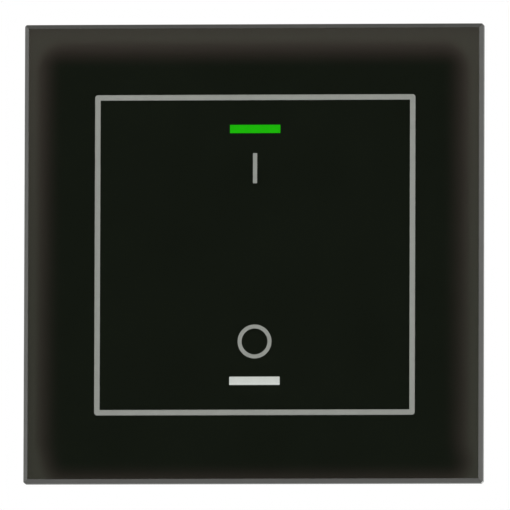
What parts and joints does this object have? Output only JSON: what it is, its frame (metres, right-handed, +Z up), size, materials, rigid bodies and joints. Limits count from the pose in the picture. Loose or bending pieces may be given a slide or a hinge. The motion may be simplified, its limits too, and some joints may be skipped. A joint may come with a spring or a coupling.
{
  "type": "touch light switch",
  "caption": "Square black glass touch wall switch with ON and OFF touch areas and lit status bars, a pull-off front on a relay module for a round wall box.",
  "frame": {"origin": "centre of the mounting plate's back face, which lies on the wall, midway between the box screws", "axes": "+X to the right and +Z up as the user sees the front, +Y into the wall"},
  "size_m": [0.092, 0.0383, 0.092],
  "materials": {
    "clear_glass": "polished, ground edges",
    "black_ink": "screen-printed enamel",
    "grey_ink": "screen-printed enamel",
    "green_window": "lit diffusing ink",
    "white_window": "lit diffusing ink",
    "adhesive_foam": "matt foam tape",
    "diffusing_acrylic": "milky",
    "board_laminate": "solder mask",
    "copper_foil": "bare copper",
    "led_body": "moulded",
    "chip_black": "moulded epoxy",
    "tinned_metal": "tin plated",
    "chip_ceramic": "fired",
    "black_nylon": "moulded",
    "carrier_plastic": "fine moulded grain",
    "nickel_magnet": "nickel plated",
    "zinc_steel": "zinc plated sheet",
    "screw_steel": "zinc plated",
    "housing_plastic": "fine moulded grain",
    "terminal_plastic": "moulded",
    "film_yellow": "filled case",
    "fuse_brown": "moulded",
    "capacitor_sleeve": "shrunk sleeve",
    "varistor_blue": "dipped epoxy",
    "ferrite": "ground",
    "winding_tape": "polyester tape",
    "relay_plastic": "moulded",
    "soft_iron": "nickel plated",
    "copper_wire": "enamelled winding",
    "contact_bronze": "rolled strip",
    "cage_steel": "nickel plated"
  },
  "bodies": {
    "wall_module": {"mounting_plate": "zinc_steel", "base_cover": "housing_plastic", "rear_housing": "housing_plastic", "housing_screws": "screw_steel", "power_board": "board_laminate", "pin_header": "black_nylon", "header_pins": "tinned_metal", "component_leads": "tinned_metal", "film_capacitor": "film_yellow", "fuse": "fuse_brown", "input_capacitor": "capacitor_sleeve", "output_capacitor": "capacitor_sleeve", "varistor": "varistor_blue", "power_board_chips": "chip_black", "transformer_base": "black_nylon", "transformer_core": "ferrite", "transformer_winding": "winding_tape", "relay_base": "relay_plastic", "relay_pins": "tinned_metal", "relay_yoke": "soft_iron", "relay_core": "soft_iron", "relay_bobbin": "black_nylon", "relay_coil": "copper_wire", "relay_fixed_contact": "contact_bronze", "relay_cover": "relay_plastic", "terminal_block": "terminal_plastic", "terminal_tongues": "contact_bronze"},
    "front_unit": {"glass_panel": "clear_glass", "black_back_print": "black_ink", "border_line_print": "grey_ink", "on_symbol_print": "grey_ink", "off_symbol_print": "grey_ink", "on_bar_window": "green_window", "off_bar_window": "white_window", "adhesive_sheet": "adhesive_foam", "on_light_guide": "diffusing_acrylic", "off_light_guide": "diffusing_acrylic", "touch_board": "board_laminate", "on_touch_pad": "copper_foil", "off_touch_pad": "copper_foil", "on_leds": "led_body", "off_leds": "led_body", "touch_controller": "chip_black", "touch_controller_leads": "tinned_metal", "touch_board_passives": "chip_ceramic", "board_socket": "black_nylon", "carrier_frame": "carrier_plastic", "retaining_magnets": "nickel_magnet"},
    "line_screw": {"line_terminal_screw": "screw_steel"},
    "line_cage": {"line_terminal_cage": "cage_steel"},
    "load_screw": {"load_terminal_screw": "screw_steel"},
    "load_cage": {"load_terminal_cage": "cage_steel"},
    "neutral_screw": {"neutral_terminal_screw": "screw_steel"},
    "neutral_cage": {"neutral_terminal_cage": "cage_steel"},
    "relay_armature_unit": {"relay_armature": "soft_iron", "relay_contact_leaf": "contact_bronze"}
  },
  "joints": [
    {"name": "front_pull_off", "type": "slide", "parent": "wall_module", "child": "front_unit", "axis": [0, -1, 0], "range_m": [0, 0.03]},
    {"name": "line_screw_turn", "type": "hinge", "parent": "wall_module", "child": "line_screw", "pos_m": [-0.009, 0.0248, -0.0163], "axis": [0, -1, 0], "range_deg": [0, 1800]},
    {"name": "line_cage_rise", "type": "slide", "parent": "wall_module", "child": "line_cage", "axis": [0, 1, 0], "range_m": [0, 0.0025]},
    {"name": "load_screw_turn", "type": "hinge", "parent": "wall_module", "child": "load_screw", "pos_m": [0, 0.0248, -0.0163], "axis": [0, -1, 0], "range_deg": [0, 1800]},
    {"name": "load_cage_rise", "type": "slide", "parent": "wall_module", "child": "load_cage", "axis": [0, 1, 0], "range_m": [0, 0.0025]},
    {"name": "neutral_screw_turn", "type": "hinge", "parent": "wall_module", "child": "neutral_screw", "pos_m": [0.009, 0.0248, -0.0163], "axis": [0, -1, 0], "range_deg": [0, 1800]},
    {"name": "neutral_cage_rise", "type": "slide", "parent": "wall_module", "child": "neutral_cage", "axis": [0, 1, 0], "range_m": [0, 0.0025]},
    {"name": "relay_armature_tilt", "type": "hinge", "parent": "wall_module", "child": "relay_armature_unit", "pos_m": [0.002, 0.0144, 0.0127], "axis": [0, 0, 1], "range_deg": [0, 4.5], "stiffness_Nm_per_rad": 0.034, "springref_deg": -3.44}
  ],
  "couplings": [
    {"joint": "line_screw_turn", "follows": "line_cage_rise", "rad_per_m": 12566},
    {"joint": "load_screw_turn", "follows": "load_cage_rise", "rad_per_m": 12566},
    {"joint": "neutral_screw_turn", "follows": "neutral_cage_rise", "rad_per_m": 12566}
  ]
}
